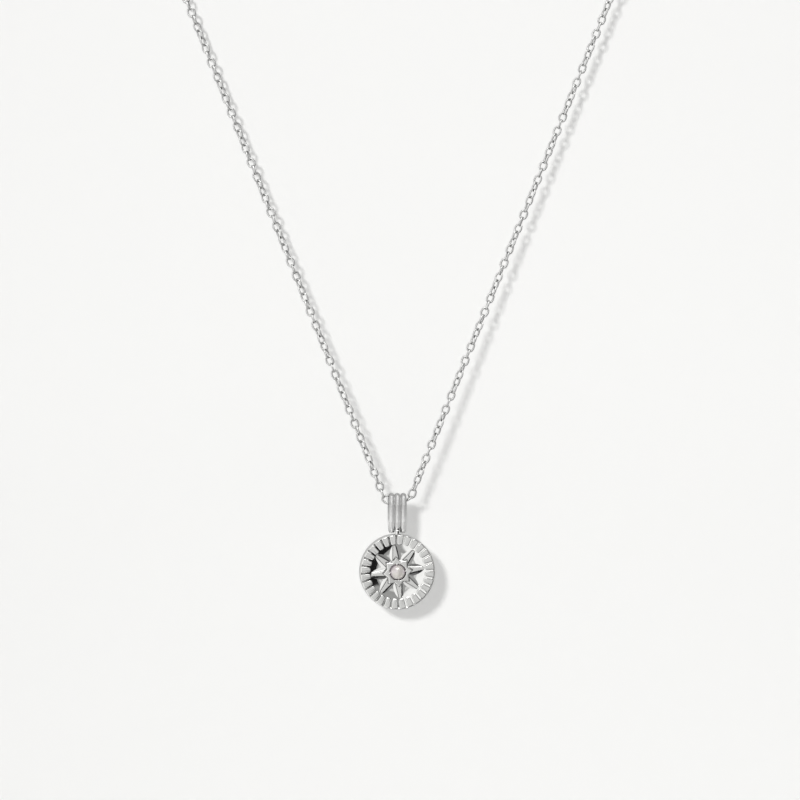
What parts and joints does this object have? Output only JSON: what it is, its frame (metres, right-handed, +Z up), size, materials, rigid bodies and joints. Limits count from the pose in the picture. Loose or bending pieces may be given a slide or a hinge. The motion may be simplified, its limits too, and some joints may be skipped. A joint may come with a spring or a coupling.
{
  "type": "pendant necklace",
  "caption": "Fine cable chain necklace with a ribbed bail and a round fluted medallion that carries a rayed star set with a small pearl.",
  "frame": {"origin": "the inner side of the clasp, in the middle of the nape, where the necklace hangs", "axes": "+Z up along the hanging necklace, the medallion's face to -Y, +X to the right as seen from the front"},
  "size_m": [0.1046, 0.0035, 0.2059],
  "materials": {
    "chain_silver": "polished wire",
    "clasp_silver": "polished",
    "bail_silver": "polished",
    "medallion_silver": "mirror polished, a little darker in the grooves",
    "pearl": "pale pink white pearl lustre"
  },
  "bodies": {
    "chain": {"chain": "chain_silver", "clasp": "clasp_silver"},
    "bail": {"bail": "bail_silver"},
    "medallion": {"medallion": "medallion_silver", "pearl": "pearl"}
  },
  "joints": [
    {"name": "bail_swing", "type": "hinge", "parent": "chain", "child": "bail", "pos_m": [0, 0, -0.1844], "axis": [-1, 0, 0], "range_deg": [-80, 80]},
    {"name": "medallion_swing", "type": "hinge", "parent": "bail", "child": "medallion", "pos_m": [0, 0, -0.18915], "axis": [-1, 0, 0], "range_deg": [-60, 60]}
  ]
}
